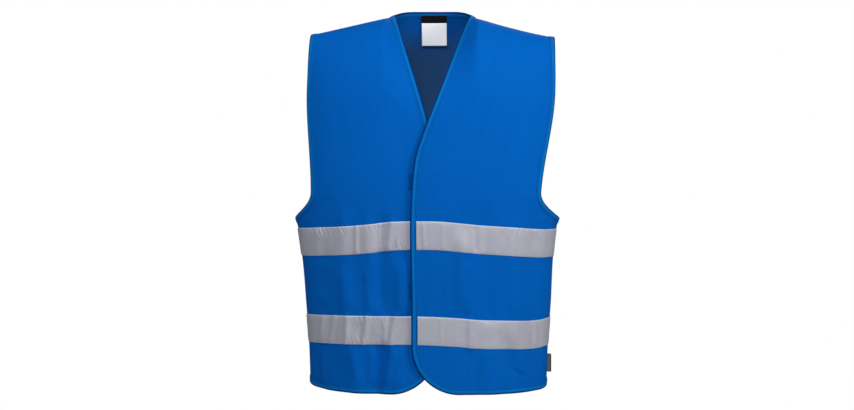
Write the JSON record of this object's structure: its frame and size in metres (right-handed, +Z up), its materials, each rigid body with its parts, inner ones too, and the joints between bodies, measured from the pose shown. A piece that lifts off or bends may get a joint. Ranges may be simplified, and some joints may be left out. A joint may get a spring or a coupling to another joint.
{
  "type": "safety vest",
  "caption": "Sleeveless warp-knit safety vest with a V neck, lapped fronts, bound edges and reflective tapes round the body, in the form it takes when worn.",
  "frame": {"origin": "midway between the two side neck points, where the wearer's shoulders carry the vest", "axes": "+Z up, the wearer faces -Y, and the wearer's left is +X"},
  "size_m": [0.4818, 0.2512, 0.6912],
  "materials": {
    "knit_cloth": "matte warp knit with fine ribs",
    "binding_cloth": "matte woven tape with a slight sheen",
    "reflective_tape": "satin grey, glass-bead face",
    "loop_pile": "short looped pile",
    "hook_tape": "stiff small hooks",
    "label_black": "satin woven ribbon",
    "label_white": "satin woven ribbon",
    "tab_cloth": "matte folded ribbon"
  },
  "bodies": {
    "root": {"front_right_panel": "knit_cloth", "front_left_panel": "knit_cloth", "back_panel": "knit_cloth", "front_right_binding": "binding_cloth", "front_left_binding": "binding_cloth", "back_neck_binding": "binding_cloth", "back_hem_binding": "binding_cloth", "left_armhole_binding": "binding_cloth", "right_armhole_binding": "binding_cloth", "upper_tape_front_right": "reflective_tape", "lower_tape_front_right": "reflective_tape", "upper_tape_front_left": "reflective_tape", "lower_tape_front_left": "reflective_tape", "upper_tape_back": "reflective_tape", "lower_tape_back": "reflective_tape", "upper_loop_patch": "loop_pile", "lower_loop_patch": "loop_pile", "upper_hook_patch": "hook_tape", "lower_hook_patch": "hook_tape", "label_header": "label_black", "label_card": "label_white", "side_tab": "tab_cloth"}
  },
  "joints": []
}
